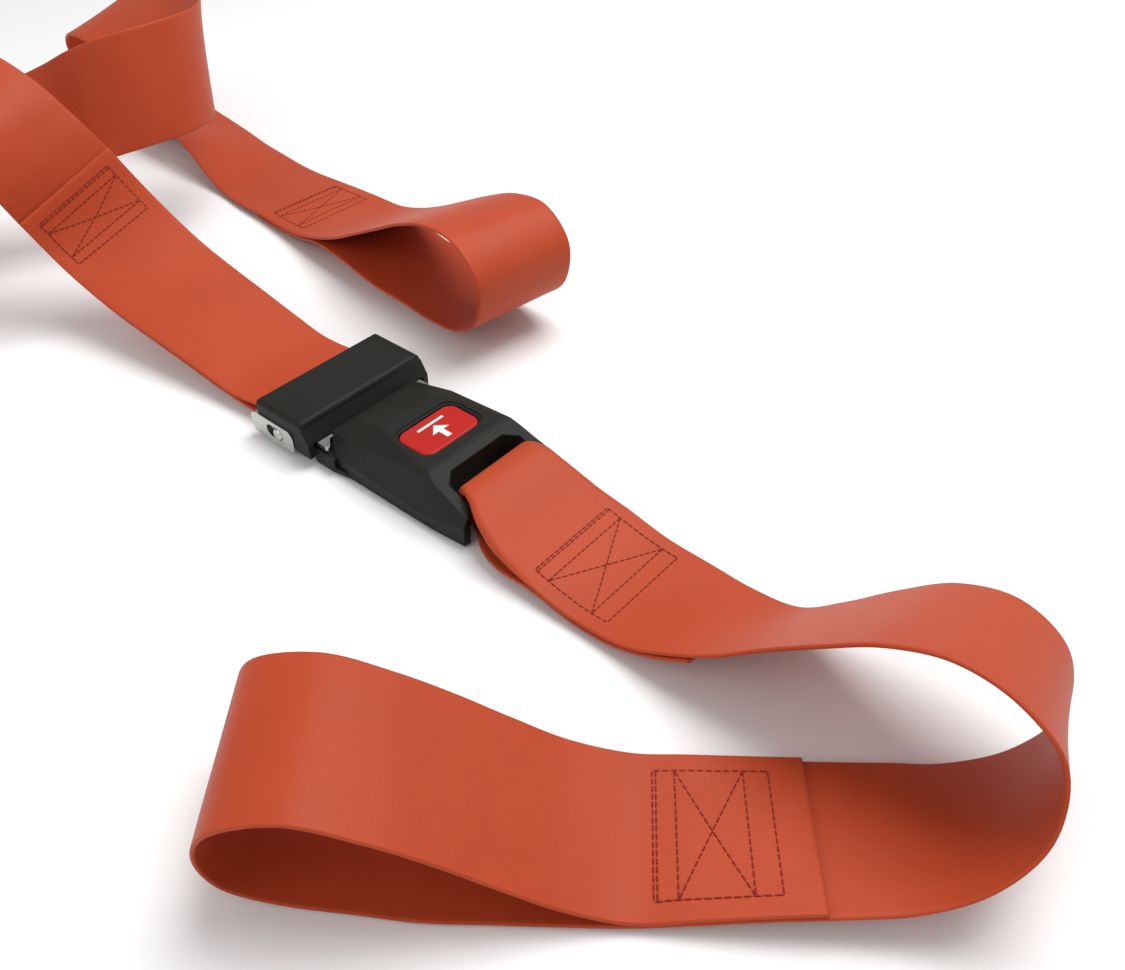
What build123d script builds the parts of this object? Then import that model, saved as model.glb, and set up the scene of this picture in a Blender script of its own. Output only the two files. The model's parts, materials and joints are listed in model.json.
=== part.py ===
from build123d import *
import os
from math import cos, radians, sin

# Two-piece restraint strap of a spine board: a push-button buckle between two webbing
# straps that each end in a sewn loop. Millimetres. The origin is the centre of the
# underside of the buckle housing, +X runs from the tongue to the housing's own strap
# and +Z is up.

os.makedirs("parts", exist_ok=True)

# --- driving dimensions ---------------------------------------------------------------
WEB_WIDTH = 50.8          # two-inch webbing
WEB_THICK = 1.4
LAYER = 1.7               # pitch of two layers of webbing sewn on each other

HOUSING_FRONT = -38.0     # mouth, where the tongue goes in
LIP_FRONT = -43.0         # lower shell reaches out under the tongue's shoulders
LIP_TOP = 6.8
HOUSING_REAR = 35.5       # tips of the two side arms
HOUSING_TOP = 20.0
HOUSING_HALF = 26.8       # half the width at the base
FLARE_HALF = 28.4         # half the width at the flared mouth
CORNER_HALF = 21.0        # half the upper shell's width at the mouth
FLOOR_THICK = 2.4         # lower shell
SHELL = 2.2               # wall of the upper shell
NOTCH_FRONT = 18.4        # front of the notch that the webbing comes out of
NOTCH_HALF = 18.6
NOTCH_NARROW = 13.5       # half the notch's width at its front

STEEL = 2.0               # all stamped plates
TONGUE_Z = 7.4            # underside of the tongue plate
BLADE_TIP = -3.0
BLADE_HALF = 15.0
THROAT_HALF = 17.0        # tongue in the mouth
SHOULDER_X = -38.8        # front of the tongue's shoulders, just outside the mouth
SHOULDER_HALF = 27.0
HOLE_REAR, HOLE_FRONT = -9.4, -17.0
HOLE_HALF = 5.8

RAIL_OUT, RAIL_IN = 22.3, 18.8
UPRIGHT = 1.4             # thickness of the frame's upright sides
BAR_REAR, BAR_FRONT = 30.0, 25.0
BAR_LOW, BAR_TOP = 6.6, 10.4

BUTTON_X = -1.0
WINDOW_LONG, WINDOW_WIDE = 18.6, 29.6
WINDOW_RADIUS = 5.0
BUTTON_GAP = 0.35         # all round in the window
BUTTON_TOP = 19.3
FLANGE_Z, FLANGE_THICK = 12.4, 1.8
LEG_LOW = 7.6
LEG_IN, LEG_OUT = 15.8, 18.0
LEAF_THICK = 0.9
LEAF_Z = 6.3              # underside of the raised part of the latch spring
SCREWS = [(-29.5, 20.6), (-29.5, -20.6), (-11, 22.6), (-11, -22.6)]

ADJ_REAR, ADJ_FRONT = -71.4, -43.6
SIDE_REAR = -74.5
SIDE_IN, SIDE_OUT = 30.0, 32.0
SIDE_LOW, SIDE_TOP = 1.4, 11.6
SIDE_FRONT = -49.2        # flanges end where the cover's front part begins
COVER_TOP = 18.0
COVER_WALL = 1.5
COVER_HALF = 31.4
SKIRT_REAR, SKIRT_LOW = -48.8, 3.6
APRON_FRONT, APRON_TOP = -40.2, 15.6   # the cover's front flares out over the tongue
LOCK_X, LOCK_Z = -58.3, 6.9
LOCK_RADIUS = 2.5
LOCK_TRAVEL = 4.0
SLOT_GAP = 0.3

STITCH_ACROSS, STITCH_ALONG = 39.0, 32.0
TAIL_ALONG = 23.0         # the box on the tail is shorter
STITCH_INSET = 0.2        # from the outer cross lines to the inner ones, as a share of the box
THREAD = 0.6

# --- the run of each strap --------------------------------------------------------------
# Stations on the webbing's centre line: x, y, z, then the heading and the rise of the
# line across the webbing in degrees, then the width.
BUCKLE_RUN = [
    (54, -3.5, 3.0, 90, 0, 49.5), (42, -2.5, 1.6, 90, 0, 43),
    (33, 0, 1.5, 90, 0, 35), (26.2, 0, 2.8, 90, 0, 34),
    (23.5, 0, 9.2, 90, 0, 34), (27, 0, 17, 90, 0, 34),
    (34, -0.5, 18.2, 90, 0, 38.5), (43, -2.5, 15.4, 90, 0, 44),
    (55, -3.5, 10.6, 90, 0, 48.5), (71, -4, 6.3, 90, 1, WEB_WIDTH),
    (89, -4.5, 3.6, 90, 0, WEB_WIDTH), (107, -4.5, 4.0, 90, -3, WEB_WIDTH),
    (124, -4, 7.2, 88, -12, WEB_WIDTH), (140, -3, 13, 85, -19, WEB_WIDTH),
    (154, -1, 24, 85, -20, WEB_WIDTH), (168, 2, 35, 86, -18, WEB_WIDTH),
    (183, 5, 45, 87, -17, WEB_WIDTH), (200, 6, 50, 87, -19, WEB_WIDTH),
    (217, 3, 47, 89, -25, WEB_WIDTH), (227, -3, 36, 100, -33, WEB_WIDTH),
    (226, -12, 22, 115, -29, WEB_WIDTH), (217, -23, 12, 124, -20, WEB_WIDTH),
    (204, -34, 7, 127, -11, WEB_WIDTH), (190, -45, 5, 127, -8, WEB_WIDTH),
    (176, -56, 3.8, 127, -6, WEB_WIDTH), (162, -67, 2.4, 127, -3, WEB_WIDTH),
    (148, -78, 1.2, 127, 0, WEB_WIDTH), (134, -89, 0.9, 127, 0, WEB_WIDTH),
    (120, -100, 0.9, 127, 0, WEB_WIDTH), (106, -111, 0.9, 127, 0, WEB_WIDTH),
    (92, -120, 0.9, 126, 0, WEB_WIDTH), (77, -130, 1.6, 125, 0, WEB_WIDTH),
    (65, -138, 8, 124, 4, WEB_WIDTH), (61, -142, 23, 128, 5, WEB_WIDTH),
    (67, -139, 37, 129, 4, WEB_WIDTH), (82, -128, 42, 128, 1, WEB_WIDTH),
    (97, -117, 36, 128, 0, WEB_WIDTH), (109, -107, 26.5, 128, 0, WEB_WIDTH),
    (121, -98, 17, 128, 0, WEB_WIDTH), (134, -88.5, 8, 128, 0, WEB_WIDTH),
]
BUCKLE_FOLD = (12.5, 9)       # stations doubled by the cut end under the buckle
EYE_A_LAP = (26, 23.25)       # stations doubled by the end of the sewn loop

TONGUE_RUN = [
    (-157, 99, 10.6, 82, 1, WEB_WIDTH), (-138, 96, 10.8, 82, 0, WEB_WIDTH),
    (-110, 92, 8.6, 82, 0, WEB_WIDTH), (-88, 90, 7.2, 82, -3, WEB_WIDTH),
    (-68, 87, 7.8, 82, -3, WEB_WIDTH), (-49, 85, 11.5, 83, -1, WEB_WIDTH),
    (-34, 83, 23, 83, 0, WEB_WIDTH), (-32, 83, 42, 82, 0, WEB_WIDTH),
    (-46, 85, 54, 82, 0, WEB_WIDTH), (-66, 88, 53, 82, -2, WEB_WIDTH),
    (-85, 90, 46, 81, -3, WEB_WIDTH), (-103, 92, 37, 81, -3, WEB_WIDTH),
    (-121, 94, 28, 81, -3, WEB_WIDTH), (-139, 97, 19.5, 82, -2, WEB_WIDTH),
    (-157, 99, 13.4, 82, 0, WEB_WIDTH), (-177, 102, 9.4, 83, 4, WEB_WIDTH),
    (-196, 105, 6.6, 83, 5, WEB_WIDTH), (-216, 108, 4.8, 83, 3, WEB_WIDTH),
    (-236, 110, 3.2, 83, 2, WEB_WIDTH), (-256, 113, 2.4, 82, 0, WEB_WIDTH),
    (-275, 116, 4.6, 83, -6, WEB_WIDTH), (-294, 119, 8.2, 84, -14, WEB_WIDTH),
    (-314, 122, 10.4, 84, -16, WEB_WIDTH), (-334, 124, 10, 84, -12, WEB_WIDTH),
    (-353, 125, 8.6, 85, -4, WEB_WIDTH), (-373, 127, 9, 85, 4, WEB_WIDTH),
    (-392, 128, 15, 83, 10, WEB_WIDTH), (-404, 127, 30, 79, 13, WEB_WIDTH),
    (-405, 122, 49, 79, 13, WEB_WIDTH), (-393, 117, 63, 82, 17, WEB_WIDTH),
    (-375, 113, 70, 86, 25, WEB_WIDTH), (-355, 111, 71, 87, 35, WEB_WIDTH),
    (-336, 110, 70, 86, 45, WEB_WIDTH), (-316, 110, 69, 85, 55, WEB_WIDTH),
    (-297, 109, 69, 87, 65, WEB_WIDTH), (-278, 105, 70, 95, 75, WEB_WIDTH),
    (-260, 96, 72, 125, 82, WEB_WIDTH), (-247, 82, 74, 172, 80, WEB_WIDTH),
    (-241, 64, 75, 182, 74, WEB_WIDTH), (-244, 45, 74, 180, 67, WEB_WIDTH),
    (-254, 29, 70, 169, 58, WEB_WIDTH), (-267, 16, 64, 157, 48, WEB_WIDTH),
    (-279, 2, 60, 152, 40, WEB_WIDTH), (-286, -16, 62, 150, 38, WEB_WIDTH),
    (-284, -32, 73, 139, 43, WEB_WIDTH), (-273, -40, 87, 119, 41, WEB_WIDTH),
    (-257, -41, 96, 107, 30, WEB_WIDTH), (-239, -37, 98, 104, 19, WEB_WIDTH),
    (-222, -30, 89, 104, 16, WEB_WIDTH), (-213, -23, 73, 97, 19, WEB_WIDTH),
    (-207, -16, 56, 87, 22, WEB_WIDTH), (-197, -10.5, 40, 85, 22, WEB_WIDTH),
    (-181, -7.5, 29, 88, 16, WEB_WIDTH), (-163, -6, 22, 90, 11, WEB_WIDTH),
    (-144, -4.5, 17, 91, 8, WEB_WIDTH), (-124, -3, 12, 92, 5, WEB_WIDTH),
    (-105, -2, 7.6, 92, 3, WEB_WIDTH), (-86, -1, 4.4, 91, 1, WEB_WIDTH),
    (-74, 0, 3.4, 90, 0, WEB_WIDTH), (-66, 0, 3.3, 90, 0, WEB_WIDTH),
    (-58.3, 0, 3.3, 90, 0, WEB_WIDTH), (-55.8, 0, 4.4, 90, 0, WEB_WIDTH),
    (-54.7, 0, 6.9, 90, 0, WEB_WIDTH), (-55.8, 0, 9.4, 90, 0, WEB_WIDTH),
    (-58.3, 0, 10.5, 90, 0, WEB_WIDTH), (-66, 0, 10.4, 90, 0, WEB_WIDTH),
    (-76, 0, 8.2, 90, 0, WEB_WIDTH),
]
EYE_B_LAP = (17.2, 15)        # stations doubled by the end of the sewn loop
TAIL_LAP = (56.5, 49.8)       # stations doubled by the tail that comes back out

# Middle of each sewn box, on the face that shows
FOLD_BOX = (82, -4, 5.3)
EYE_A_BOX = (165.5, -64.5, 4.9)
EYE_B_BOX = (-195, 105, 7.4)
TAIL_BOX = (-199, -12.5, 45.3)


# --- helpers ------------------------------------------------------------------------------
def run_point(run, index):
    """Station at a fractional number, on a Catmull-Rom curve through the stations."""
    last = len(run) - 1
    i = min(int(index), last - 1)
    t = index - i
    corners = run[max(i - 1, 0)], run[i], run[i + 1], run[min(i + 2, last)]
    return tuple(
        0.5 * (2 * q + (r - p) * t + (2 * p - 5 * q + 4 * r - s) * t**2
               + (3 * q - p - 3 * r + s) * t**3)
        for p, q, r, s in zip(*corners)
    )


def run_plane(run, index):
    """Plane square to the webbing: local x runs across it, local y out of its face."""
    x, y, z, heading, rise, _ = run_point(run, index)
    across = Vector(cos(radians(heading)) * cos(radians(rise)),
                    sin(radians(heading)) * cos(radians(rise)), sin(radians(rise)))
    ahead = Vector(*run_point(run, min(index + 0.15, len(run) - 1))[:3])
    behind = Vector(*run_point(run, max(index - 0.15, 0))[:3])
    along = ahead - behind
    along = (along - across * along.dot(across)).normalized()
    return Plane(origin=(x, y, z), x_dir=across, z_dir=along)


def lapped(run, lap, side):
    """Stations of a second layer that lies on the run, from lap[0] to lap[1]."""
    steps = round(abs(lap[1] - lap[0]))
    stations = []
    for step in range(steps + 1):
        index = lap[0] + (lap[1] - lap[0]) * step / steps
        plane = run_plane(run, index)
        centre = plane.origin + plane.y_dir * (side * LAYER)
        heading, rise, width = run_point(run, index)[3:]
        stations.append((centre.X, centre.Y, centre.Z, heading, rise, width))
    return stations


def webbing(run, steps=2):
    """Webbing along a run, as one ruled loft through thin rectangles."""
    with BuildPart() as strap:
        for step in range((len(run) - 1) * steps + 1):
            index = step / steps
            with BuildSketch(run_plane(run, index)):
                Rectangle(run_point(run, index)[5], WEB_THICK)
        loft(ruled=True)
    return strap


def nearest(run, point):
    """Number of the station closest to a point."""
    target = Vector(*point)
    tries = [k / 20 for k in range((len(run) - 1) * 20)]
    return min(tries, key=lambda k: (Vector(*run_point(run, k)[:3]) - target).length)


def stitch_box(run, centre, long=STITCH_ALONG):
    """Thread of a sewn box: a rectangle, two inner cross lines and an X between them."""
    middle = nearest(run, centre)
    before, after = run_plane(run, middle - 0.5).origin, run_plane(run, middle + 0.5).origin
    spacing = (after - before).length
    half_long, half_wide = long / 2, STITCH_ACROSS / 2
    inner = half_long - STITCH_INSET * long

    def on_face(along, across):
        plane = run_plane(run, middle + along / spacing)
        out = plane.y_dir if plane.y_dir.Z > 0 else plane.y_dir * -1
        return plane.origin + plane.x_dir * across + out * (WEB_THICK / 2 + THREAD / 4)

    lines = [((x, -half_wide), (x, half_wide)) for x in (-half_long, -inner, inner, half_long)]
    lines += [((-half_long, y), (half_long, y)) for y in (-half_wide, half_wide)]
    lines += [((-inner, -half_wide), (inner, half_wide)), ((-inner, half_wide), (inner, -half_wide))]
    with BuildPart() as thread:
        for (a0, c0), (a1, c1) in lines:
            pieces = 4 if a0 != a1 else 1
            for k in range(pieces):
                p = on_face(a0 + (a1 - a0) * k / pieces, c0 + (c1 - c0) * k / pieces)
                q = on_face(a0 + (a1 - a0) * (k + 1) / pieces, c0 + (c1 - c0) * (k + 1) / pieces)
                with BuildSketch(Plane(origin=p, z_dir=q - p)):
                    Rectangle(THREAD, THREAD)
                extrude(amount=(q - p).length + THREAD / 2)
    return thread


def housing_outline(front, corner):
    """Plan of the housing: front corners at the flared mouth, rear notch between two arms."""
    side = [(front, corner), (-31.5, FLARE_HALF if corner > HOUSING_HALF else HOUSING_HALF - 0.4),
            (-22, HOUSING_HALF), (20, HOUSING_HALF), (HOUSING_REAR, 25.6), (HOUSING_REAR, 22.8),
            (31.5, NOTCH_HALF), (22.4, NOTCH_HALF), (NOTCH_FRONT, NOTCH_NARROW)]
    with BuildSketch() as outline:
        with BuildLine():
            Polyline(*side, *[(x, -y) for x, y in reversed(side)], close=True)
        make_face()
        fillet(outline.vertices().filter_by_position(Axis.X, front - 0.1, front + 0.1), 3)
    return outline.sketch


def housing_body(inset):
    """Outer or inner volume of the upper shell, from its plan, side view and cross sections."""
    # x, then half width and height of the waist, of the shoulder and of the flat top
    sections = [(-46, 28.4, 4, 20.8, 11.2, 12, 11.6), (-17.5, 27.6, 5, 23, 16.4, 13.5, HOUSING_TOP),
                (14.3, 26.8, 5, 22.4, 19.2, 20.6, HOUSING_TOP), (44, 26, 8, 22.5, 13, 19, 14.2)]
    with BuildPart() as body:
        for x, waist, waist_z, shoulder, shoulder_z, top, top_z in sections:
            with BuildSketch(Plane(origin=(x, 0, 0), x_dir=(0, 1, 0), z_dir=(1, 0, 0))):
                half = [(waist - inset, 0), (waist - inset, waist_z),
                        (shoulder - 0.6 * inset, shoulder_z - inset), (top - inset / 2, top_z - inset)]
                Polygon(*half, *[(-y, z) for y, z in reversed(half)], align=None)
        loft(ruled=True)
        with BuildSketch(Plane.XY.offset(FLOOR_THICK)):
            add(housing_outline(HOUSING_FRONT, CORNER_HALF))
            if inset:
                offset(amount=-inset, kind=Kind.INTERSECTION)
        extrude(amount=HOUSING_TOP, mode=Mode.INTERSECT)
        with BuildSketch(Plane.XZ):
            Polygon((HOUSING_FRONT, 0), (HOUSING_FRONT, 12.6), (-36, 14.2), (-17.5, HOUSING_TOP),
                    (14.3, HOUSING_TOP), (HOUSING_REAR, 12), (HOUSING_REAR, 0), align=None)
            if inset:
                offset(amount=-inset, kind=Kind.INTERSECTION)
                with Locations((-1.5, 0)):
                    Rectangle(69, 14)
        extrude(amount=40, both=True, mode=Mode.INTERSECT)
    return body


# --- the half with the button ----------------------------------------------------------------
with BuildPart() as housing_bottom:
    with BuildSketch():
        add(housing_outline(LIP_FRONT, FLARE_HALF))
    extrude(amount=FLOOR_THICK)
    # lip in front of the mouth, under the shoulders of the tongue
    with BuildSketch(Plane.XY.offset(FLOOR_THICK)):
        add(housing_outline(LIP_FRONT, FLARE_HALF))
        with Locations((-30, 0)):
            Rectangle(100, 80, align=(Align.MIN, Align.CENTER), mode=Mode.SUBTRACT)
        add(housing_outline(HOUSING_FRONT - 0.5, CORNER_HALF + 0.6), mode=Mode.SUBTRACT)
    extrude(amount=LIP_TOP - FLOOR_THICK)
    chamfer(housing_bottom.faces().sort_by(Axis.Z)[0].edges(), 0.6)
    # pads that carry the tongue behind the mouth
    with BuildSketch(Plane.XY.offset(FLOOR_THICK)):
        with Locations((-33, 9), (-33, -9)):
            Rectangle(5, 8)
    extrude(amount=TONGUE_Z - 0.4 - FLOOR_THICK)
    with Locations(*[(x, y, 0) for x, y in SCREWS]):
        Cylinder(1.3, 20, mode=Mode.SUBTRACT)
        Cone(2.6, 1.3, 1.4, align=(Align.CENTER, Align.CENTER, Align.MIN), mode=Mode.SUBTRACT)

outer = housing_body(0)
inner = housing_body(SHELL)

with BuildPart() as bosses:
    with BuildSketch(Plane.XY.offset(FLOOR_THICK)):
        with Locations(*SCREWS):
            Circle(2.4)
    extrude(amount=20)
    add(outer.part, mode=Mode.INTERSECT)

with BuildPart() as housing_top:
    add(outer.part)
    chamfer(housing_top.faces().sort_by(Axis.Z)[-1].edges(), 0.9)
    add(inner.part, mode=Mode.SUBTRACT)
    add(bosses.part)
    # mouth
    with Locations((HOUSING_FRONT, 0, TONGUE_Z + STEEL / 2)):
        Box(12, 2 * THROAT_HALF + 1, STEEL + 0.9, mode=Mode.SUBTRACT)
    # window of the button, with a shallow recess round it
    for grow, deep in ((0, 8), (1.3, 0.7)):
        with BuildSketch(Plane.XY.offset(HOUSING_TOP)):
            with Locations((BUTTON_X, 0)):
                RectangleRounded(WINDOW_LONG + 2 * grow, WINDOW_WIDE + 2 * grow, WINDOW_RADIUS + grow)
        extrude(amount=-deep, mode=Mode.SUBTRACT)
    # slots in the arms for the bar of the base frame
    with Locations(((BAR_FRONT + BAR_REAR) / 2, 0, FLOOR_THICK)):
        Box(BAR_REAR - BAR_FRONT + 0.6, 44, 2 * (BAR_TOP + 0.4 - FLOOR_THICK), mode=Mode.SUBTRACT)
    with Locations(*[(x, y, 0) for x, y in SCREWS]):
        Cylinder(1.2, 24, mode=Mode.SUBTRACT)


def housing_screw(x, y):
    """Countersunk screw through the lower shell into a boss of the upper one."""
    with BuildPart() as screw:
        with Locations((x, y, 0.1)):
            Cylinder(1.1, 10, align=(Align.CENTER, Align.CENTER, Align.MIN))
            Cone(2.4, 1.1, 1.4, align=(Align.CENTER, Align.CENTER, Align.MIN))
            with Locations((0, 0, 0)):
                Box(3, 0.6, 1, mode=Mode.SUBTRACT)
    return screw


with BuildPart() as base_frame:
    with BuildSketch(Plane.XY.offset(FLOOR_THICK)):
        with Locations((-6.2, 0)):
            Rectangle(43.6, 2 * RAIL_OUT)
        with Locations((-8.5, 0)):
            Rectangle(33, 2 * RAIL_IN, mode=Mode.SUBTRACT)
        with Locations(*SCREWS):
            Circle(2.8, mode=Mode.SUBTRACT)
        with Locations((12.6, 6), (12.6, -6)):
            Circle(1.25, mode=Mode.SUBTRACT)
    extrude(amount=STEEL)
    # upright sides that reach back along the arms
    for y in (RAIL_OUT - UPRIGHT / 2, -RAIL_OUT + UPRIGHT / 2):
        with BuildSketch(Plane.XZ.offset(-y)):
            with Locations((12.7, FLOOR_THICK + 4.05)):
                RectangleRounded(35.4, 8.1, 1.5)
        extrude(amount=UPRIGHT / 2, both=True)
    with BuildSketch(Plane.XZ):
        with Locations(((BAR_FRONT + BAR_REAR) / 2, (BAR_LOW + BAR_TOP) / 2)):
            RectangleRounded(BAR_REAR - BAR_FRONT, BAR_TOP - BAR_LOW, 1.5)
    extrude(amount=RAIL_OUT - 0.5, both=True)

with BuildPart() as latch_spring:
    with BuildSketch(Plane.XZ):
        Polygon((15.4, 4.4), (9, 4.4), (-1, LEAF_Z), (-19, LEAF_Z), (-21, 5.6), (-21.4, 6.4),
                (-19.2, LEAF_Z + LEAF_THICK), (-0.9, LEAF_Z + LEAF_THICK), (9.1, 5.3), (15.4, 5.3),
                align=None)
    extrude(amount=10, both=True)
    with Locations((-3.5, 0, LEAF_Z + LEAF_THICK / 2)):
        Box(5, 36.4, LEAF_THICK)
    # nose that stands in the hole of the tongue, with a ramp toward the mouth
    with BuildSketch(Plane.XZ):
        Polygon((-16.4, 6.8), (-16.4, 7.3), (-11.4, 9.6), (-10, 9.6), (-10, 6.8), align=None)
    extrude(amount=5.2, both=True)
    with Locations((12.6, 6, 5), (12.6, -6, 5)):
        Cylinder(1.25, 4, mode=Mode.SUBTRACT)


def leaf_rivet(y):
    with BuildPart() as rivet:
        with Locations((12.6, y, FLOOR_THICK + 0.1)):
            Cylinder(1.2, 3.2, align=(Align.CENTER, Align.CENTER, Align.MIN))
        with Locations((12.6, y, 5.3)):
            Cylinder(2.1, 0.9, align=(Align.CENTER, Align.CENTER, Align.MIN))
        fillet(rivet.edges().group_by(Axis.Z)[-1], 0.5)
    return rivet


with BuildPart() as button:
    with BuildSketch(Plane.XY.offset(FLANGE_Z)):
        with Locations((BUTTON_X, 0)):
            Rectangle(WINDOW_LONG + 2.4, 2 * LEG_OUT)
    extrude(amount=FLANGE_THICK)
    with BuildSketch(Plane.XY.offset(FLANGE_Z)):
        with Locations((BUTTON_X, 0)):
            RectangleRounded(WINDOW_LONG - 2 * BUTTON_GAP, WINDOW_WIDE - 2 * BUTTON_GAP,
                             WINDOW_RADIUS - BUTTON_GAP)
    extrude(amount=BUTTON_TOP - FLANGE_Z)
    fillet(button.faces().sort_by(Axis.Z)[-1].edges(), 0.9)
    # legs that push the wings of the latch spring down
    for side in (1, -1):
        with Locations((-3.5, side * (LEG_IN + LEG_OUT) / 2, (LEG_LOW + FLANGE_Z) / 2)):
            Box(4, LEG_OUT - LEG_IN, FLANGE_Z - LEG_LOW)

with BuildPart() as button_pictogram:
    with BuildSketch(Plane.XY.offset(BUTTON_TOP)):
        with Locations((BUTTON_X - 4.6, 0)):
            Rectangle(1.2, 13)
        with Locations((BUTTON_X + 3.2, 0)):
            Rectangle(5.2, 2.4)
        with BuildLine():
            Polyline((BUTTON_X - 3, 0), (BUTTON_X + 1.2, 4.2), (BUTTON_X + 1.2, -4.2), close=True)
        make_face()
    extrude(amount=0.15)


def button_spring(side):
    """Compression coil between the base frame and the button's flange."""
    with BuildPart() as spring:
        with BuildLine(Plane(origin=(6, side * 17, 4.75))) as wire:
            Helix(pitch=1.55, height=7.3, radius=1.3)
        with BuildSketch(Plane(origin=wire.line @ 0, z_dir=wire.line % 0)):
            Circle(0.3)
        sweep(is_frenet=True)
    return spring


# --- the half with the tongue -----------------------------------------------------------------
with BuildPart() as tongue_plate:
    with BuildSketch(Plane.XY.offset(TONGUE_Z)) as tongue_plan:
        side = [(BLADE_TIP, BLADE_HALF), (-34, BLADE_HALF), (-36.4, THROAT_HALF),
                (SHOULDER_X, THROAT_HALF), (SHOULDER_X, 22), (-33.8, SHOULDER_HALF - 0.8),
                (-35.4, SHOULDER_HALF), (-52.5, SHOULDER_HALF)]
        with BuildLine():
            Polyline(*side, *[(x, -y) for x, y in reversed(side)], close=True)
        make_face()
        fillet(tongue_plan.vertices().filter_by_position(Axis.X, -4, -2), 4)
        fillet(tongue_plan.vertices().filter_by_position(Axis.X, -36, -33), 0.9)
        with Locations(((HOLE_REAR + HOLE_FRONT) / 2, 0)):
            RectangleRounded(HOLE_REAR - HOLE_FRONT, 2 * HOLE_HALF, 1, mode=Mode.SUBTRACT)
        with Locations((-48, 15), (-48, -15)):
            Circle(1.75, mode=Mode.SUBTRACT)
    extrude(amount=STEEL)


def tongue_rivet(y):
    """Rivet that joins the tongue plate to the front web of the adjuster frame."""
    with BuildPart() as rivet:
        with Locations((-48, y, TONGUE_Z - STEEL - 1)):
            Cylinder(2.6, 1, align=(Align.CENTER, Align.CENTER, Align.MIN))
            Cylinder(1.7, 2 * STEEL + 2, align=(Align.CENTER, Align.CENTER, Align.MIN))
        with Locations((-48, y, TONGUE_Z + STEEL)):
            Cylinder(2.6, 1.2, align=(Align.CENTER, Align.CENTER, Align.MIN))
        fillet(rivet.edges().group_by(Axis.Z)[-1], 0.7)
    return rivet


with BuildPart() as adjuster_frame:
    for y in ((SIDE_IN + SIDE_OUT) / 2, -(SIDE_IN + SIDE_OUT) / 2):
        with BuildSketch(Plane.XZ.offset(-y)) as flange:
            with Locations(((SIDE_REAR + SIDE_FRONT) / 2, (SIDE_LOW + SIDE_TOP) / 2)):
                RectangleRounded(SIDE_FRONT - SIDE_REAR, SIDE_TOP - SIDE_LOW, 3.6)
            with Locations((LOCK_X - LOCK_TRAVEL / 2, LOCK_Z)):
                SlotOverall(2 * LOCK_RADIUS + LOCK_TRAVEL + 2 * SLOT_GAP, 2 * (LOCK_RADIUS + SLOT_GAP),
                            mode=Mode.SUBTRACT)
        extrude(amount=STEEL / 2, both=True)
    # rear web under the webbing, front web under the tongue
    with Locations((-66, 0, 1.45)):
        Box(5, 2 * SIDE_IN + 0.5, 1.7)
    with Locations((-51, 0, TONGUE_Z - STEEL / 2)):
        Box(2.8, 2 * SIDE_IN + 0.5, STEEL)
    with Locations((-48.4, 0, TONGUE_Z - STEEL / 2)):
        Box(5.2, 2 * SHOULDER_HALF, STEEL)
    with Locations((-48, 15, TONGUE_Z), (-48, -15, TONGUE_Z)):
        Cylinder(1.75, 8, mode=Mode.SUBTRACT)

with BuildPart() as adjuster_cover:
    # roof over the flanges, and a deeper front part that reaches down round the tongue
    with BuildSketch(Plane.XY.offset(SIDE_TOP)):
        with Locations(((ADJ_REAR + 0.8 + ADJ_FRONT) / 2, 0)):
            RectangleRounded(ADJ_FRONT - ADJ_REAR - 0.8, 2 * COVER_HALF, 1.2)
    extrude(amount=COVER_TOP - SIDE_TOP)
    with BuildSketch(Plane.XY.offset(SKIRT_LOW)):
        with Locations(((SKIRT_REAR + ADJ_FRONT) / 2, 0)):
            Rectangle(ADJ_FRONT - SKIRT_REAR, 2 * COVER_HALF)
    extrude(amount=SIDE_TOP - SKIRT_LOW + 1)
    top_edges = adjuster_cover.edges().filter_by(Axis.Y).group_by(Axis.Z)[-1]
    fillet(top_edges.sort_by(Axis.X)[-1], 2.2)
    # hollow inside
    with Locations(((ADJ_REAR + 0.8 + ADJ_FRONT) / 2, 0, SIDE_TOP)):
        Box(ADJ_FRONT - ADJ_REAR - 0.8 - 2 * COVER_WALL, 2 * (COVER_HALF - COVER_WALL),
            2 * (COVER_TOP - SIDE_TOP - COVER_WALL), mode=Mode.SUBTRACT)
    with Locations(((SKIRT_REAR + ADJ_FRONT) / 2 - COVER_WALL, 0, SKIRT_LOW)):
        Box(ADJ_FRONT - SKIRT_REAR, 2 * (COVER_HALF - COVER_WALL), 30 - 2 * SKIRT_LOW, mode=Mode.SUBTRACT)
    # slot for the tongue
    with Locations((ADJ_FRONT, 0, TONGUE_Z + STEEL / 2)):
        Box(8, 2 * SHOULDER_HALF + 0.6, STEEL + 0.6, mode=Mode.SUBTRACT)
    # apron over the tongue, with a corner at each side that reaches down past the lip
    slot_top = TONGUE_Z + STEEL + 0.3
    wall = ADJ_FRONT - COVER_WALL / 2
    with BuildSketch(Plane.XZ):
        Polygon((wall, slot_top), (APRON_FRONT, slot_top), (ADJ_FRONT, APRON_TOP),
                (wall, APRON_TOP), align=None)
    extrude(amount=COVER_HALF, both=True)
    corner_wide = COVER_HALF - FLARE_HALF - 0.5
    for y in (COVER_HALF - corner_wide / 2, -(COVER_HALF - corner_wide / 2)):
        with Locations(((wall + APRON_FRONT) / 2, y, (SKIRT_LOW + slot_top) / 2)):
            Box(APRON_FRONT - wall, corner_wide, slot_top - SKIRT_LOW)
    # two posts that rest on the tongue between the rivets
    with Locations((-48, 6, 13), (-48, -6, 13)):
        Box(4, 3, 2 * (13 - TONGUE_Z - STEEL))

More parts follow.
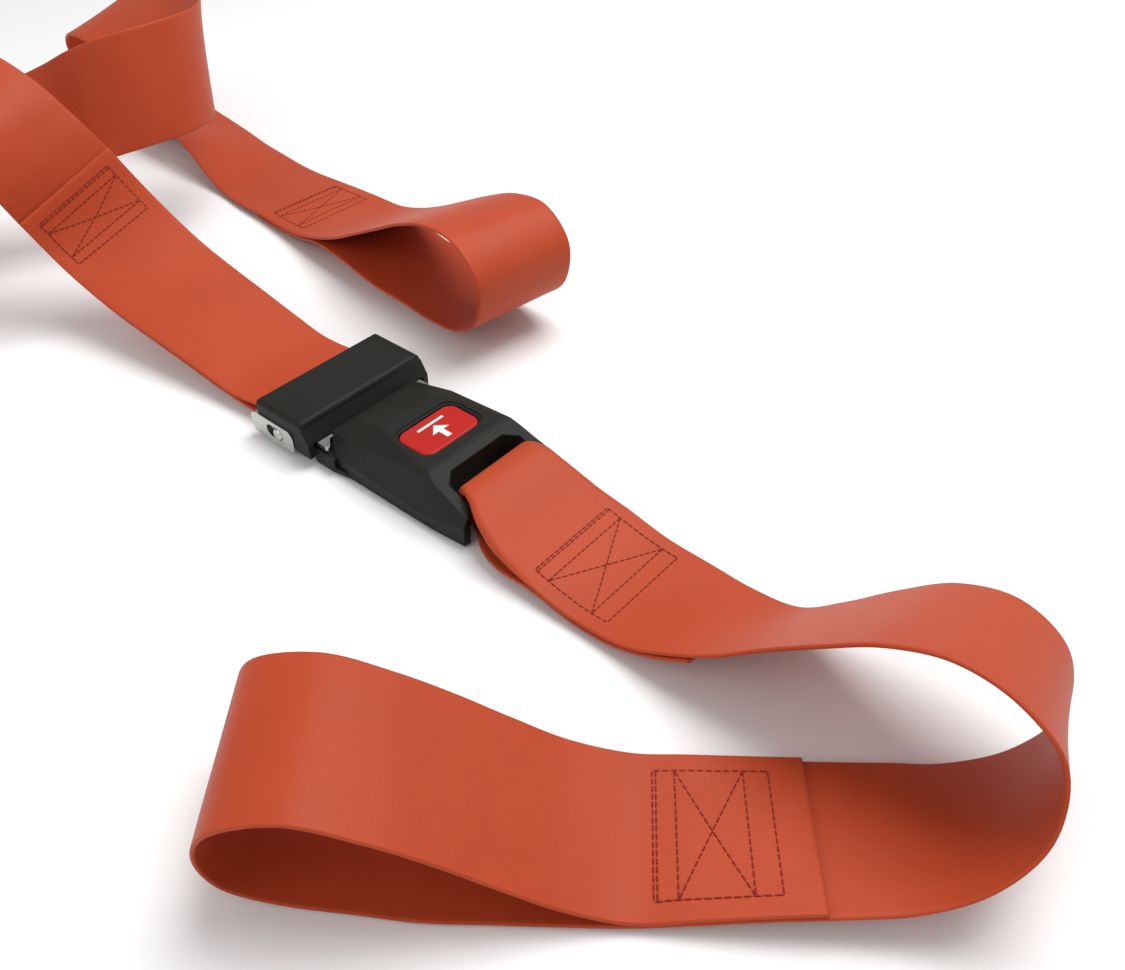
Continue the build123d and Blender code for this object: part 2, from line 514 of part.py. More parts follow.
with BuildPart() as lock_bar:
    with BuildSketch(Plane.XZ):
        with Locations((LOCK_X, LOCK_Z)):
            Circle(LOCK_RADIUS)
    extrude(amount=SIDE_OUT + 0.5, both=True)
    chamfer(lock_bar.faces().filter_by(Axis.Y).edges(), 0.5)

# --- webbing and its stitching --------------------------------------------------------------------
buckle_path = lapped(BUCKLE_RUN, BUCKLE_FOLD, -1) + BUCKLE_RUN + lapped(BUCKLE_RUN, EYE_A_LAP, -1)
tongue_path = lapped(TONGUE_RUN, EYE_B_LAP, 1) + TONGUE_RUN + lapped(TONGUE_RUN, TAIL_LAP, 1)

buckle_strap = webbing(buckle_path)
tongue_strap = webbing(tongue_path)

pieces = {
    "housing_top": housing_top,
    "housing_bottom": housing_bottom,
    "housing_screw_1": housing_screw(*SCREWS[0]),
    "housing_screw_2": housing_screw(*SCREWS[1]),
    "housing_screw_3": housing_screw(*SCREWS[2]),
    "housing_screw_4": housing_screw(*SCREWS[3]),
    "base_frame": base_frame,
    "latch_spring": latch_spring,
    "leaf_rivet_1": leaf_rivet(6),
    "leaf_rivet_2": leaf_rivet(-6),
    "button": button,
    "button_pictogram": button_pictogram,
    "button_spring_1": button_spring(1),
    "button_spring_2": button_spring(-1),
    "buckle_strap": buckle_strap,
    "stitch_fold": stitch_box(buckle_path, FOLD_BOX),
    "stitch_eye_a": stitch_box(buckle_path, EYE_A_BOX),
    "tongue_plate": tongue_plate,
    "tongue_rivet_1": tongue_rivet(15),
    "tongue_rivet_2": tongue_rivet(-15),
    "adjuster_frame": adjuster_frame,
    "adjuster_cover": adjuster_cover,
    "lock_bar": lock_bar,
    "tongue_strap": tongue_strap,
    "stitch_tail": stitch_box(tongue_path, TAIL_BOX, TAIL_ALONG),
    "stitch_eye_b": stitch_box(tongue_path, EYE_B_BOX),
}
for name, piece in pieces.items():
    piece.part.label = name
    export_step(piece.part, "parts/" + name + ".step")
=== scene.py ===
"""Looks of a two-piece spine board strap: woven webbing with sewn boxes around a packed buckle."""
import json
import random
from math import cos, hypot, pi, radians, sin, sqrt

import bpy
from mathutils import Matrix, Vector


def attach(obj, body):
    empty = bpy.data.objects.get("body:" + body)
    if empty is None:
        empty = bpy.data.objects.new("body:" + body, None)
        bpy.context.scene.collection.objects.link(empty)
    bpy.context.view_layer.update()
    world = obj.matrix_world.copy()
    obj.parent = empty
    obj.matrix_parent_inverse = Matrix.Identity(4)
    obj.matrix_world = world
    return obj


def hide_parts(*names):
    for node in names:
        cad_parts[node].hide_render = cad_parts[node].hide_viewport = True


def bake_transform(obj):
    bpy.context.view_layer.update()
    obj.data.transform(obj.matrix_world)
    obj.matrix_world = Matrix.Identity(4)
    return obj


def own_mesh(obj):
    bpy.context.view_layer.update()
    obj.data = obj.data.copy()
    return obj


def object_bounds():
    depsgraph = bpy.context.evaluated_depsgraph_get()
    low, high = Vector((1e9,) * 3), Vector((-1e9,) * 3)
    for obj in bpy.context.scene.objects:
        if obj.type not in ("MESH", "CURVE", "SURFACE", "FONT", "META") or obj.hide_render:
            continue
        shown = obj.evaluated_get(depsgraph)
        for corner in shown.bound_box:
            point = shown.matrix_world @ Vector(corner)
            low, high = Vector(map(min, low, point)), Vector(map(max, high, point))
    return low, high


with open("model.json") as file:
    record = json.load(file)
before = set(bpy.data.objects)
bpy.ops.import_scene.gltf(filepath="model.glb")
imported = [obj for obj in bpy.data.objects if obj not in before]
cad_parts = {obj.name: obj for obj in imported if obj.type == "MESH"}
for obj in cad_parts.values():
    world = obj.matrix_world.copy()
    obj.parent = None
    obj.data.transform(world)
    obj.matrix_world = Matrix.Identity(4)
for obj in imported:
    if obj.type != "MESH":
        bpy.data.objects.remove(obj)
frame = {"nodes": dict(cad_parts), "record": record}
cad_box = [list(corner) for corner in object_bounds()]
random.seed(7)

MM = 0.001

# --- webbing, in millimetres as in the CAD ------------------------------------------------
WEB_WIDTH = 50.8
WEB_THICK = 1.4
LAYER = 1.7               # pitch of two layers sewn on each other
WEAVE_ACROSS = 1.15       # pitch of the cords across the webbing
WEAVE_ALONG = 0.9         # pitch of the cross yarns along it
STEPS = 8                 # mesh rows from one station to the next
LOOK = 0.15               # stations before and after that give the webbing's direction
WAVE_HEIGHT, WAVE_PITCH = 0.12, 23   # slight waviness of the edges
COLUMNS = 22              # mesh columns between the rounded edges
TUCK_COLUMNS = 64         # where the webbing is tucked

TUCK_RADIUS = 1.3         # of the fold where the squeezed webbing's sides are tucked under it
TUCK_FULL = 5.5           # spare width from which the side is folded right under
TUCK_REAR = 33.0          # the webbing has passed the bar beyond this
TUCK_RISE = 3.0           # height over which the tuck forms
TUCK_LOW = 12.5           # height where the tuck begins as the webbing rises past the bar
LOOSE_LOW = 3.2           # above this the loose webbing behind the bar is the upper layer

STITCH_ACROSS, STITCH_ALONG = 39.0, 32.0
TAIL_ALONG = 23.0
STITCH_INSET = 0.2        # from an outer cross line to the inner one, as a share of the box
STITCH_PITCH = 2.4
STITCH_LENGTH = 2.3
STITCH_START = 0.08       # share of the pitch before the first stitch of a line
STITCH_JITTER = 0.07
THREAD_RADIUS = 0.25
BACK_TACK = 1.0           # from the first cross line to the second row sewn over it

# --- camera of the photograph's view --------------------------------------------------------
CAMERA_PLACE = (0.2309, -0.2051, 0.258)
CAMERA_AHEAD = (-0.4851, 0.5781, -0.6561)
SENSOR = 36.0
FOCAL = 33.47

# Stations on the webbing's centre line: x, y, z, then the heading and the rise of the
# line across the webbing in degrees, then the width.
BUCKLE_RUN = [
    (54, -3.5, 3.0, 90, 0, 49.5), (42, -2.5, 1.6, 90, 0, 43),
    (33, 0, 1.5, 90, 0, 35), (26.2, 0, 2.8, 90, 0, 34),
    (23.5, 0, 9.2, 90, 0, 34), (27, 0, 17, 90, 0, 34),
    (34, -0.5, 18.2, 90, 0, 38.5), (43, -2.5, 15.4, 90, 0, 44),
    (55, -3.5, 10.6, 90, 0, 48.5), (71, -4, 6.3, 90, 1, WEB_WIDTH),
    (89, -4.5, 3.6, 90, 0, WEB_WIDTH), (107, -4.5, 4.0, 90, -3, WEB_WIDTH),
    (124, -4, 7.2, 88, -12, WEB_WIDTH), (140, -3, 13, 85, -19, WEB_WIDTH),
    (154, -1, 24, 85, -20, WEB_WIDTH), (168, 2, 35, 86, -18, WEB_WIDTH),
    (183, 5, 45, 87, -17, WEB_WIDTH), (200, 6, 50, 87, -19, WEB_WIDTH),
    (217, 3, 47, 89, -25, WEB_WIDTH), (227, -3, 36, 100, -33, WEB_WIDTH),
    (226, -12, 22, 115, -29, WEB_WIDTH), (217, -23, 12, 124, -20, WEB_WIDTH),
    (204, -34, 7, 127, -11, WEB_WIDTH), (190, -45, 5, 127, -8, WEB_WIDTH),
    (176, -56, 3.8, 127, -6, WEB_WIDTH), (162, -67, 2.4, 127, -3, WEB_WIDTH),
    (148, -78, 1.2, 127, 0, WEB_WIDTH), (134, -89, 0.9, 127, 0, WEB_WIDTH),
    (120, -100, 0.9, 127, 0, WEB_WIDTH), (106, -111, 0.9, 127, 0, WEB_WIDTH),
    (92, -120, 0.9, 126, 0, WEB_WIDTH), (77, -130, 1.6, 125, 0, WEB_WIDTH),
    (65, -138, 8, 124, 4, WEB_WIDTH), (61, -142, 23, 128, 5, WEB_WIDTH),
    (67, -139, 37, 129, 4, WEB_WIDTH), (82, -128, 42, 128, 1, WEB_WIDTH),
    (97, -117, 36, 128, 0, WEB_WIDTH), (109, -107, 26.5, 128, 0, WEB_WIDTH),
    (121, -98, 17, 128, 0, WEB_WIDTH), (134, -88.5, 8, 128, 0, WEB_WIDTH),
]
BUCKLE_FOLD = (12.5, 9)       # stations doubled by the cut end under the buckle
EYE_A_LAP = (26, 23.25)       # stations doubled by the end of the sewn loop

TONGUE_RUN = [
    (-157, 99, 10.6, 82, 1, WEB_WIDTH), (-138, 96, 10.8, 82, 0, WEB_WIDTH),
    (-110, 92, 8.6, 82, 0, WEB_WIDTH), (-88, 90, 7.2, 82, -3, WEB_WIDTH),
    (-68, 87, 7.8, 82, -3, WEB_WIDTH), (-49, 85, 11.5, 83, -1, WEB_WIDTH),
    (-34, 83, 23, 83, 0, WEB_WIDTH), (-32, 83, 42, 82, 0, WEB_WIDTH),
    (-46, 85, 54, 82, 0, WEB_WIDTH), (-66, 88, 53, 82, -2, WEB_WIDTH),
    (-85, 90, 46, 81, -3, WEB_WIDTH), (-103, 92, 37, 81, -3, WEB_WIDTH),
    (-121, 94, 28, 81, -3, WEB_WIDTH), (-139, 97, 19.5, 82, -2, WEB_WIDTH),
    (-157, 99, 13.4, 82, 0, WEB_WIDTH), (-177, 102, 9.4, 83, 4, WEB_WIDTH),
    (-196, 105, 6.6, 83, 5, WEB_WIDTH), (-216, 108, 4.8, 83, 3, WEB_WIDTH),
    (-236, 110, 3.2, 83, 2, WEB_WIDTH), (-256, 113, 2.4, 82, 0, WEB_WIDTH),
    (-275, 116, 4.6, 83, -6, WEB_WIDTH), (-294, 119, 8.2, 84, -14, WEB_WIDTH),
    (-314, 122, 10.4, 84, -16, WEB_WIDTH), (-334, 124, 10, 84, -12, WEB_WIDTH),
    (-353, 125, 8.6, 85, -4, WEB_WIDTH), (-373, 127, 9, 85, 4, WEB_WIDTH),
    (-392, 128, 15, 83, 10, WEB_WIDTH), (-404, 127, 30, 79, 13, WEB_WIDTH),
    (-405, 122, 49, 79, 13, WEB_WIDTH), (-393, 117, 63, 82, 17, WEB_WIDTH),
    (-375, 113, 70, 86, 25, WEB_WIDTH), (-355, 111, 71, 87, 35, WEB_WIDTH),
    (-336, 110, 70, 86, 45, WEB_WIDTH), (-316, 110, 69, 85, 55, WEB_WIDTH),
    (-297, 109, 69, 87, 65, WEB_WIDTH), (-278, 105, 70, 95, 75, WEB_WIDTH),
    (-260, 96, 72, 125, 82, WEB_WIDTH), (-247, 82, 74, 172, 80, WEB_WIDTH),
    (-241, 64, 75, 182, 74, WEB_WIDTH), (-244, 45, 74, 180, 67, WEB_WIDTH),
    (-254, 29, 70, 169, 58, WEB_WIDTH), (-267, 16, 64, 157, 48, WEB_WIDTH),
    (-279, 2, 60, 152, 40, WEB_WIDTH), (-286, -16, 62, 150, 38, WEB_WIDTH),
    (-284, -32, 73, 139, 43, WEB_WIDTH), (-273, -40, 87, 119, 41, WEB_WIDTH),
    (-257, -41, 96, 107, 30, WEB_WIDTH), (-239, -37, 98, 104, 19, WEB_WIDTH),
    (-222, -30, 89, 104, 16, WEB_WIDTH), (-213, -23, 73, 97, 19, WEB_WIDTH),
    (-207, -16, 56, 87, 22, WEB_WIDTH), (-197, -10.5, 40, 85, 22, WEB_WIDTH),
    (-181, -7.5, 29, 88, 16, WEB_WIDTH), (-163, -6, 22, 90, 11, WEB_WIDTH),
    (-144, -4.5, 17, 91, 8, WEB_WIDTH), (-124, -3, 12, 92, 5, WEB_WIDTH),
    (-105, -2, 7.6, 92, 3, WEB_WIDTH), (-86, -1, 4.4, 91, 1, WEB_WIDTH),
    (-74, 0, 3.4, 90, 0, WEB_WIDTH), (-66, 0, 3.3, 90, 0, WEB_WIDTH),
    (-58.3, 0, 3.3, 90, 0, WEB_WIDTH), (-55.8, 0, 4.4, 90, 0, WEB_WIDTH),
    (-54.7, 0, 6.9, 90, 0, WEB_WIDTH), (-55.8, 0, 9.4, 90, 0, WEB_WIDTH),
    (-58.3, 0, 10.5, 90, 0, WEB_WIDTH), (-66, 0, 10.4, 90, 0, WEB_WIDTH),
    (-76, 0, 8.2, 90, 0, WEB_WIDTH),
]
EYE_B_LAP = (17.2, 15)        # stations doubled by the end of the sewn loop
TAIL_LAP = (56.5, 49.8)       # stations doubled by the tail that comes back out

# Middle of each sewn box, on the face that shows
FOLD_BOX = (82, -4, 5.3)
EYE_A_BOX = (165.5, -64.5, 4.9)
EYE_B_BOX = (-195, 105, 7.4)
TAIL_BOX = (-199, -12.5, 45.3)


# --- the run of the webbing -------------------------------------------------------------------
def run_point(run, index):
    """Station at a fractional number, on a Catmull-Rom curve through the stations."""
    last = len(run) - 1
    i = max(0, min(int(index), last - 1))
    t = index - i
    corners = run[max(i - 1, 0)], run[i], run[i + 1], run[min(i + 2, last)]
    return [
        0.5 * (2 * q + (r - p) * t + (2 * p - 5 * q + 4 * r - s) * t**2
               + (3 * q - p - 3 * r + s) * t**3)
        for p, q, r, s in zip(*corners)
    ]


def run_frame(run, index):
    """Centre, direction across and normal of the webbing at a fractional station."""
    x, y, z, heading, rise, _ = run_point(run, index)
    across = Vector((cos(radians(heading)) * cos(radians(rise)),
                     sin(radians(heading)) * cos(radians(rise)), sin(radians(rise))))
    ahead = Vector(run_point(run, min(index + LOOK, len(run) - 1))[:3])
    behind = Vector(run_point(run, max(index - LOOK, 0))[:3])
    along = ahead - behind
    along = (along - across * along.dot(across)).normalized()
    return Vector((x, y, z)), across, along.cross(across)


def lapped(run, lap, side):
    """Stations of a second layer that lies on the run, from lap[0] to lap[1]."""
    steps = round(abs(lap[1] - lap[0]))
    stations = []
    for step in range(steps + 1):
        index = lap[0] + (lap[1] - lap[0]) * step / steps
        centre, _, normal = run_frame(run, index)
        stations.append((*(centre + normal * side * LAYER), *run_point(run, index)[3:]))
    return stations


def nearest(run, point):
    """Number of the station closest to a point."""
    tries = [k / 20 for k in range((len(run) - 1) * 20)]
    return min(tries, key=lambda k: (Vector(run_point(run, k)[:3]) - Vector(point)).length)


# --- meshes -------------------------------------------------------------------------------------
def new_object(name, vertices, faces, material):
    """Smooth-shaded mesh object from points in millimetres."""
    mesh = bpy.data.meshes.new(name)
    mesh.from_pydata([v * MM for v in vertices], [], faces)
    mesh.update()
    mesh.materials.append(material)
    mesh.polygons.foreach_set("use_smooth", [True] * len(mesh.polygons))
    thing = bpy.data.objects.new(name, mesh)
    bpy.context.collection.objects.link(thing)
    return thing


def edge_profile(columns):
    """Points of the webbing's section: distance from the centre as a share of the half
    width, distance in from the edge in millimetres, and half thickness."""
    r = WEB_THICK / 2
    inset = [r * (1 - cos(radians(a))) for a in (0, 30, 60, 90)]
    rounded = [r * sin(radians(a)) for a in (0, 30, 60, 90)]
    left = [(-1, d, h) for d, h in zip(inset, rounded)]
    middle = [(-1 + 2 * k / columns, 0, r) for k in range(1, columns)]
    return left + middle + [(1, d, h) for _, d, h in reversed(left)]


def spare_width(centre, half):
    """Width at each side that is tucked under the webbing where the buckle squeezes it."""
    low = TUCK_LOW if centre.x < TUCK_REAR else LOOSE_LOW
    share = min(1.0, max(0.0, (centre.z - low) / TUCK_RISE))
    return max(0.0, WEB_WIDTH / 2 - half) * share


def tucked(reach, half, spare):
    """Place of a point of the section: (distance from the centre, drop, turn of its normal).
    The side bends down at flat, and the section stays half wide whatever the bend."""
    if spare < 0.01:
        return reach, 0.0, 0.0
    bend = pi * sqrt(min(1.0, spare / TUCK_FULL))
    flat = half - TUCK_RADIUS
    if bend < pi / 2:
        shrink = TUCK_RADIUS * (bend * cos(bend) - sin(bend)) - spare * cos(bend)
        flat = half + shrink / (1 - cos(bend))
    beyond = abs(reach) - flat
    if beyond <= 0:
        return reach, 0.0, 0.0
    turn = min(bend, beyond / TUCK_RADIUS)
    straight = max(0.0, beyond - bend * TUCK_RADIUS)
    out = flat + TUCK_RADIUS * sin(turn) + straight * cos(turn)
    drop = TUCK_RADIUS * (1 - cos(turn)) + straight * sin(turn)
    side = 1 if reach > 0 else -1
    return side * out, drop, side * turn


def webbing(name, run, material, squeezed=False):
    """Closed mesh of webbing with rounded selvedges and a UV map in metres."""
    profile = edge_profile(TUCK_COLUMNS if squeezed else COLUMNS)
    rows = (len(run) - 1) * STEPS + 1
    ring = profile + [(u, d, -h) for u, d, h in reversed(profile[1:-1])]
    vertices, places = [], []
    before, length = None, 0.0
    for k in range(rows):
        index = k / STEPS
        centre, across, normal = run_frame(run, index)
        half = run_point(run, index)[5] / 2
        spare = spare_width(centre, half) if squeezed else 0.0
        if before is not None:
            length += (centre - before).length
        before = centre
        for u, d, h in ring:
            reach = u * (half + spare) - (d if u > 0 else -d)
            wave = WAVE_HEIGHT * sin(length / WAVE_PITCH + 2 * u) * u * u
            out, drop, turn = tucked(reach, half, spare)
            place = centre + across * (out + h * sin(turn)) + normal * (h * cos(turn) + wave - drop)
            vertices.append(place)
            places.append((reach, length))
    n = len(ring)
    faces = [(k * n + i, (k + 1) * n + i, (k + 1) * n + (i + 1) % n, k * n + (i + 1) % n)
             for k in range(rows - 1) for i in range(n)]
    faces += [tuple(range(n)), tuple(reversed(range((rows - 1) * n, rows * n)))]
    strap = new_object(name, vertices, faces, material)
    layer = strap.data.uv_layers.new(name="UVMap")
    for loop in strap.data.loops:
        reach, s = places[loop.vertex_index]
        layer.data[loop.index].uv = (reach * MM, s * MM)
    return strap


def box_lines(long, tack):
    """Sewn lines of a box: ends as (along, across) in millimetres. A second row is sewn over
    the first cross line where tack is -1, or over the last one where it is 1."""
    a, c = long / 2, STITCH_ACROSS / 2
    b = a - STITCH_INSET * long
    crosses = [((x, -c), (x, c)) for x in (-a, tack * (a - BACK_TACK), -b, b, a)]
    sides = [((-a, y), (a, y)) for y in (-c, c)]
    return crosses + sides + [((-b, -c), (b, c)), ((-b, c), (b, -c))]


def add_stitch(vertices, faces, start, end, out):
    """One stitch: a thread that comes up out of the webbing and dives back in."""
    along = end - start
    side = along.cross(out).normalized()
    first = len(vertices)
    spans, sides = 6, 6
    for i in range(spans + 1):
        t = i / spans
        arch = sqrt(max(0.0, 1 - (2 * t - 1) ** 2))
        centre = start + along * t + out * (THREAD_RADIUS * (1.15 * arch - 0.75))
        radius = THREAD_RADIUS * (0.55 + 0.45 * arch)
        for j in range(sides):
            turn = 2 * pi * j / sides
            vertices.append(centre + side * radius * cos(turn) + out * radius * sin(turn))
    for i in range(spans):
        for j in range(sides):
            a, b = first + i * sides + j, first + i * sides + (j + 1) % sides
            faces.append((a, b, b + sides, a + sides))
    faces.append(tuple(first + j for j in reversed(range(sides))))
    faces.append(tuple(first + spans * sides + j for j in range(sides)))


def stitch_box(name, run, centre, long, tack, material):
    """Stitches of a sewn box on both faces of the two layers it holds together."""
    middle = nearest(run, centre)
    spacing = (run_frame(run, middle + 0.5)[0] - run_frame(run, middle - 0.5)[0]).length
    vertices, faces = [], []
    for height in (WEB_THICK / 2, -WEB_THICK / 2 - LAYER):
        for (a0, c0), (a1, c1) in box_lines(long, tack):
            count = max(1, round(hypot(a1 - a0, c1 - c0) / STITCH_PITCH))
            for k in range(count):
                ends = []
                for t in (k, k + STITCH_LENGTH / STITCH_PITCH):
                    t = (t + STITCH_START) / count
                    jitter = random.uniform(-STITCH_JITTER, STITCH_JITTER)
                    index = middle + (a0 + (a1 - a0) * t) / spacing
                    place, across, normal = run_frame(run, index)
                    out = normal if normal.z > 0 else -normal
                    ends.append(place + across * (c0 + (c1 - c0) * t + jitter) + out * height)
                face = out if height > 0 else -out
                add_stitch(vertices, faces, ends[0], ends[1], face)
    return new_object(name, vertices, faces, material)


# --- materials ------------------------------------------------------------------------------------
class Nodes:
    """Short names for building a node material."""

    def __init__(self, name, **sockets):
        self.material = bpy.data.materials.new(name)
        self.material.use_nodes = True
        self.tree = self.material.node_tree
        self.shader = self.tree.nodes["Principled BSDF"]
        for key, value in sockets.items():
            self.shader.inputs[key.replace("_", " ")].default_value = value

    def add(self, kind, inputs=(), **settings):
        node = self.tree.nodes.new("ShaderNode" + kind)
        for key, value in settings.items():
            setattr(node, key, value)
        for key, value in dict(inputs).items():
            if isinstance(value, bpy.types.NodeSocket):
                self.tree.links.new(value, node.inputs[key])
            else:
                node.inputs[key].default_value = value
        return node

    def math(self, operation, a, b=0.0):
        return self.add("Math", {0: a, 1: b}, operation=operation).outputs[0]

    def noise(self, scale, detail=3.0, stretch=None):
        place = self.add("TexCoord").outputs["Object"]
        if stretch:
            place = self.add("Mapping", {"Vector": place, "Scale": stretch}).outputs[0]
        return self.add("TexNoise", {"Vector": place, "Scale": scale, "Detail": detail}).outputs["Fac"]

    def ramp(self, value, low, high):
        """value 0..1 turned into low..high, for numbers or colours."""
        if isinstance(low, tuple):
            mix = self.add("Mix", data_type="RGBA")
            self.tree.links.new(value, mix.inputs["Factor"])
            mix.inputs[6].default_value = (*low, 1)
            mix.inputs[7].default_value = (*high, 1)
            return mix.outputs[2]
        return self.add("MapRange", {"Value": value, "To Min": low, "To Max": high}).outputs[0]

    def bump(self, height, distance, strength=1.0, normal=None):
        inputs = {"Height": height, "Distance": distance, "Strength": strength}
        if normal is not None:
            inputs["Normal"] = normal
        return self.add("Bump", inputs).outputs[0]

    def link(self, value, name):
        self.tree.links.new(value, self.shader.inputs[name])

    def edges(self, radius):
        """Rounded normal, and a mask that is 1 on sharp edges."""
        normal = self.add("Bevel", {"Radius": radius}, samples=6).outputs[0]
        flat = self.add("NewGeometry").outputs["Normal"]
        dot = self.add("VectorMath", {0: normal, 1: flat}, operation="DOT_PRODUCT").outputs["Value"]
        mask = self.add("MapRange", {"Value": dot, "From Min": 1.0, "From Max": 0.86}).outputs[0]
        return normal, mask


def fabric_material():
    """Coated woven webbing: cords along it, fine yarns across, and a soft sheen."""
    n = Nodes("webbing", Sheen_Weight=0.03, Sheen_Roughness=0.4, IOR=1.4, Specular_IOR_Level=0.3)
    uv = n.add("UVMap", uv_map="UVMap").outputs[0]
    split = n.add("SeparateXYZ", {0: uv})
    cords = n.math("SINE", n.math("MULTIPLY", split.outputs[0], 2 * pi / (WEAVE_ACROSS * MM)))
    yarns = n.math("SINE", n.math("MULTIPLY", split.outputs[1], 2 * pi / (WEAVE_ALONG * MM)))
    weave = n.math("ADD", n.math("MULTIPLY", cords, yarns), n.math("MULTIPLY", cords, 0.5))
    edge = n.math("ABSOLUTE", split.outputs[0])
    selvedge = n.math("COMPARE", edge, (WEB_WIDTH / 2 - 2.6) * MM)
    selvedge.node.inputs[2].default_value = 0.35 * MM
    height = n.math("SUBTRACT", weave, n.math("MULTIPLY", selvedge, 1.5))
    blotch = n.noise(22.0, 4.0)
    tint = n.ramp(n.ramp(blotch, -0.4, 1.4), (0.40, 0.048, 0.013), (0.47, 0.063, 0.019))
    thread_tint = n.ramp(n.ramp(weave, 0.0, 0.16), (1.0, 1.0, 1.0), (0.72, 0.62, 0.6))
    colour = n.add("Mix", data_type="RGBA", blend_type="MULTIPLY")
    colour.inputs["Factor"].default_value = 1.0
    n.tree.links.new(tint, colour.inputs[6])
    n.tree.links.new(thread_tint, colour.inputs[7])
    n.link(colour.outputs[2], "Base Color")
    n.link(n.ramp(blotch, 0.42, 0.6), "Roughness")
    fine = n.bump(n.noise(900.0, 2.0), 0.05 * MM, 0.5)
    n.link(n.bump(height, 0.024 * MM, 0.8, fine), "Normal")
    return n.material


def thread_material():
    """Twisted sewing thread, darker than the webbing."""
    n = Nodes("thread", Roughness=0.6, Specular_IOR_Level=0.25)
    twist = n.noise(2600.0, 1.0, (1.0, 1.0, 2.5))
    n.link(n.ramp(twist, (0.16, 0.010, 0.005), (0.27, 0.020, 0.010)), "Base Color")
    n.link(n.bump(twist, 0.08 * MM), "Normal")
    return n.material


def plastic_material(name, dark, light, worn, roughness, grain):
    """Moulded plastic with a fine spark-eroded grain and slightly worn edges."""
    n = Nodes(name, Roughness=roughness, IOR=1.45, Specular_IOR_Level=0.22)
    normal, mask = n.edges(0.55 * MM)
    cloud = n.noise(60.0, 4.0)
    speck = n.noise(2600.0, 2.0)
    body = n.ramp(cloud, dark, light)
    worn_mix = n.add("Mix", data_type="RGBA")
    wear = n.math("MULTIPLY", mask, n.ramp(n.noise(300.0), 0.1, 0.9))
    n.tree.links.new(wear, worn_mix.inputs["Factor"])
    n.tree.links.new(body, worn_mix.inputs[6])
    worn_mix.inputs[7].default_value = (*worn, 1)
    n.link(worn_mix.outputs[2], "Base Color")
    n.link(n.ramp(speck, roughness - 0.08, roughness + 0.12), "Roughness")
    n.link(n.bump(speck, grain * MM, 0.8, normal), "Normal")
    return n.material


def steel_material(name, dark, light, roughness, stretch):
    """Bright rolled or drawn steel, brushed along one direction, with a painted highlight on its sharp
    edges.
    """
    n = Nodes(name, Metallic=1.0, Roughness=roughness)
    normal, mask = n.edges(0.3 * MM)
    brush = n.noise(900.0, 3.0, stretch)
    # painted highlight: the base colour is at its lightest on every sharp edge, where light catches
    # the steel
    n.link(n.ramp(n.math("MAXIMUM", brush, mask), dark, light), "Base Color")
    n.link(n.ramp(brush, roughness - 0.08, roughness + 0.14), "Roughness")
    n.link(n.bump(brush, 0.03 * MM, 0.6, normal), "Normal")
    return n.material


looks = {
    "webbing": fabric_material(),
    "thread": thread_material(),
    "black_plastic": plastic_material(
        "black_plastic", (0.008, 0.009, 0.007), (0.013, 0.015, 0.012), (0.04, 0.044, 0.04),
        roughness=0.52, grain=0.05),
    "red_plastic": plastic_material(
        "red_plastic", (0.40, 0.012, 0.009), (0.47, 0.018, 0.013), (0.55, 0.05, 0.035),
        roughness=0.36, grain=0.02),
    "print": plastic_material(
        "print", (0.78, 0.77, 0.74), (0.86, 0.85, 0.82), (0.6, 0.5, 0.48),
        roughness=0.5, grain=0.02),
    "plate_steel": steel_material(
        "plate_steel", (0.36, 0.38, 0.35), (0.62, 0.65, 0.61),
        roughness=0.30, stretch=(1.0, 0.06, 1.0)),
    "spring_steel": steel_material(
        "spring_steel", (0.30, 0.30, 0.32), (0.52, 0.52, 0.54),
        roughness=0.34, stretch=(0.06, 1.0, 1.0)),
    "fastener_steel": steel_material(
        "fastener_steel", (0.42, 0.42, 0.42), (0.66, 0.66, 0.66),
        roughness=0.28, stretch=(1.0, 1.0, 1.0)),
}

for entry in frame["record"]["subparts"]:
    node = frame["nodes"][entry["node"]]
    node.data.materials.clear()
    node.data.materials.append(looks[entry["material_slot"]])

# --- webbing and stitching ------------------------------------------------------------------------
buckle_path = lapped(BUCKLE_RUN, BUCKLE_FOLD, -1) + BUCKLE_RUN + lapped(BUCKLE_RUN, EYE_A_LAP, -1)
tongue_path = lapped(TONGUE_RUN, EYE_B_LAP, 1) + TONGUE_RUN + lapped(TONGUE_RUN, TAIL_LAP, 1)

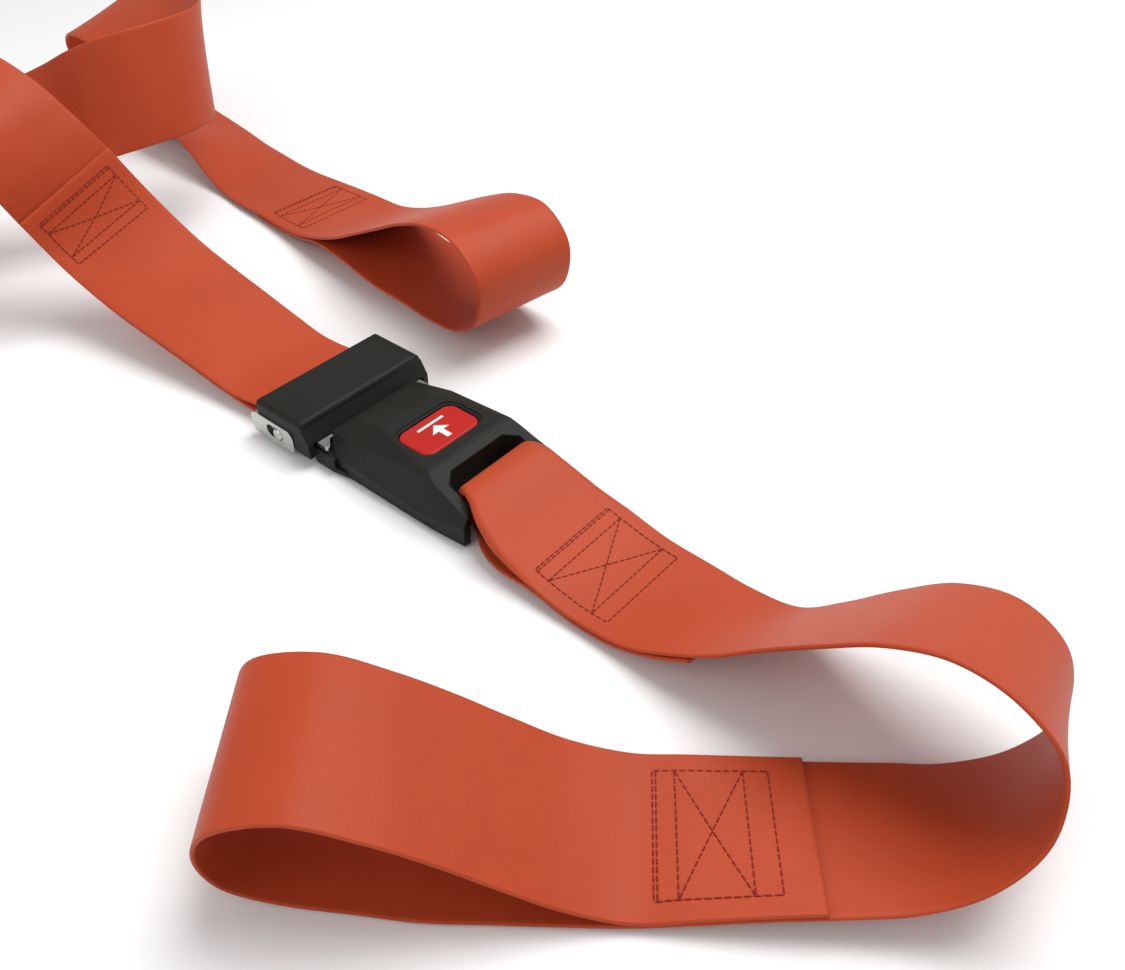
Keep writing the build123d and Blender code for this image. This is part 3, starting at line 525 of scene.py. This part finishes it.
straps = (
    ("buckle_strap", buckle_path, "buckle", True,
     {"stitch_fold": (FOLD_BOX, STITCH_ALONG, -1), "stitch_eye_a": (EYE_A_BOX, STITCH_ALONG, -1)}),
    ("tongue_strap", tongue_path, "tongue", False,
     {"stitch_tail": (TAIL_BOX, TAIL_ALONG, 1), "stitch_eye_b": (EYE_B_BOX, STITCH_ALONG, 1)}),
)
for node, path, body, squeezed, boxes in straps:
    strap = webbing(node + "_webbing", path, looks["webbing"], squeezed)
    for stitch_node, (centre, long, tack) in boxes.items():
        thread = stitch_box(stitch_node + "_thread", path, centre, long, tack, looks["thread"])
        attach(thread, body)
        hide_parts(stitch_node)
    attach(strap, body)
    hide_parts(node)

# --- springs under the button -----------------------------------------------------------------------
def spring_copy(node, name):
    """Copy of a CAD spring's mesh; the CAD spring itself is hidden."""
    piece = bpy.data.objects.new(name, frame["nodes"][node].data.copy())
    bpy.context.collection.objects.link(piece)
    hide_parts(node)
    return piece


leaf = spring_copy("latch_spring", "latch_spring_leaf")
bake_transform(leaf)
for node in ("button_spring_1", "button_spring_2"):
    coil = spring_copy(node, node + "_coil")
    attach(coil, "buckle")
    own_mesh(coil)

# --- floor, light and camera ------------------------------------------------------------------------
bpy.ops.mesh.primitive_plane_add(size=8, location=(0, 0, cad_box[0][2] - 0.0002))
floor = bpy.context.object
floor.name = "floor"
paper = Nodes("paper", Roughness=0.9)
paper.shader.inputs["Base Color"].default_value = (0.86, 0.86, 0.86, 1)
floor.data.materials.append(paper.material)

world = bpy.data.worlds.new("studio")
world.use_nodes = True
bpy.context.scene.view_settings.view_transform = "Standard"
world.node_tree.nodes["Background"].inputs["Color"].default_value = (1, 1, 1, 1)
world.node_tree.nodes["Background"].inputs["Strength"].default_value = 0.46
bpy.context.scene.world = world


def soft_box(name, place, target, size, watts):
    """Square area light that points at a target."""
    data = bpy.data.lights.new(name, "AREA")
    data.size = size
    data.energy = watts
    lamp = bpy.data.objects.new(name, data)
    lamp.location = place
    lamp.rotation_euler = (Vector(target) - Vector(place)).to_track_quat("-Z", "Y").to_euler()
    bpy.context.collection.objects.link(lamp)


soft_box("key", (0.1, 0.45, 1.15), (-0.05, 0, 0), 0.8, 14.5)
soft_box("fill", (-0.2, -0.9, 0.6), (0, 0, 0), 0.8, 3)

lens = bpy.data.cameras.new("camera")
lens.sensor_width = SENSOR
lens.lens = FOCAL
lens.clip_start = 0.01
camera = bpy.data.objects.new("camera", lens)
camera.location = CAMERA_PLACE
camera.rotation_euler = Vector(CAMERA_AHEAD).to_track_quat("-Z", "Y").to_euler()
bpy.context.collection.objects.link(camera)
bpy.context.scene.camera = camera
